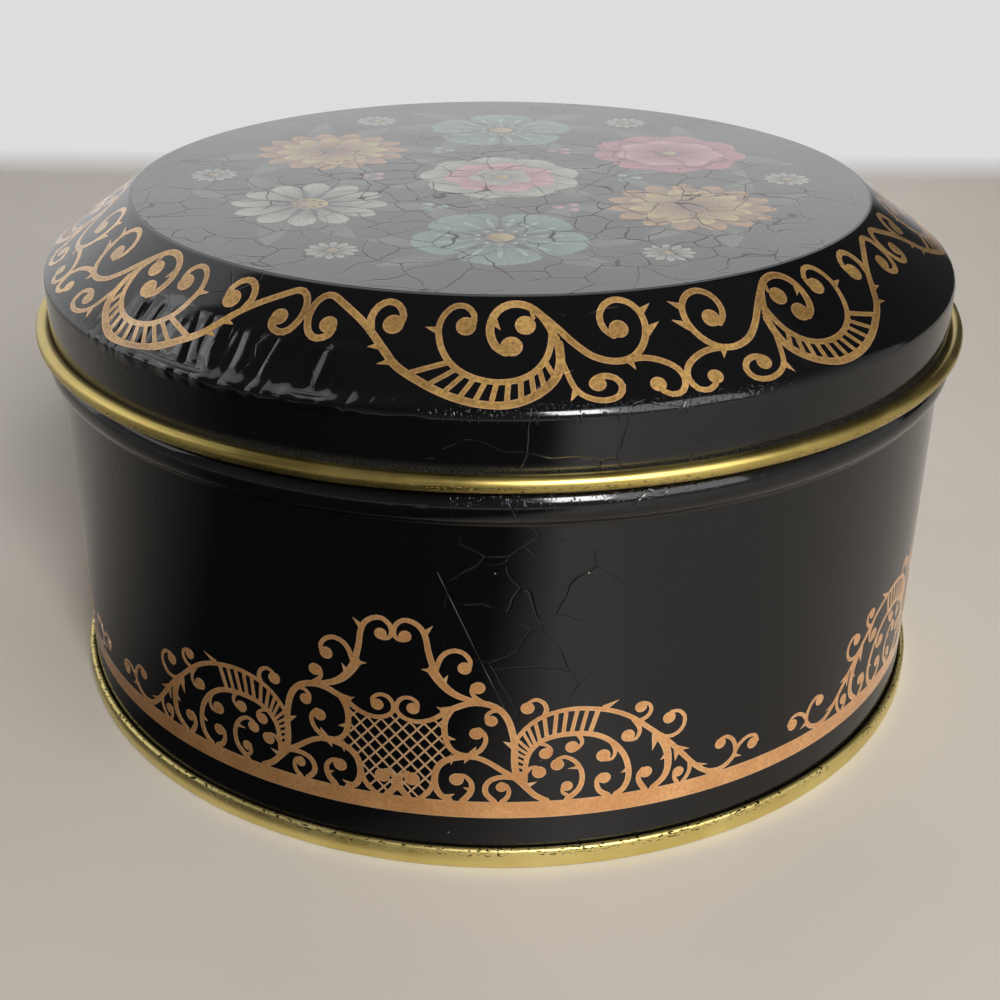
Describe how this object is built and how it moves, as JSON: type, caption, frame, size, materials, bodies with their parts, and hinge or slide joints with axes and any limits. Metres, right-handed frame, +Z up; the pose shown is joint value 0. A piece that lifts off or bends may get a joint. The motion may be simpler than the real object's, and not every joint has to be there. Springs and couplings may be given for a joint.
{
  "type": "round slip-lid tin",
  "caption": "Round black tinplate box with a seamed base and a lift-off lid that has a flat top, sloping shoulder and rolled gold edge, for dry food.",
  "frame": {"origin": "middle of the base, on the surface that the tin stands on", "axes": "+Z up along the tin's axis, -Y towards the side seen in the picture, side seam at +Y"},
  "size_m": [0.1974, 0.1974, 0.1055],
  "materials": {
    "black_lacquer": "gloss black lacquer on tinplate",
    "gold_lacquer": "gold lacquer on tinplate"
  },
  "bodies": {
    "tin": {"body_wall": "black_lacquer", "base_end": "gold_lacquer"},
    "lid": {"lid_cap": "black_lacquer"}
  },
  "joints": [
    {"name": "lid_lift", "type": "slide", "parent": "tin", "child": "lid", "axis": [0, 0, 1], "range_m": [0, 0.15]}
  ]
}
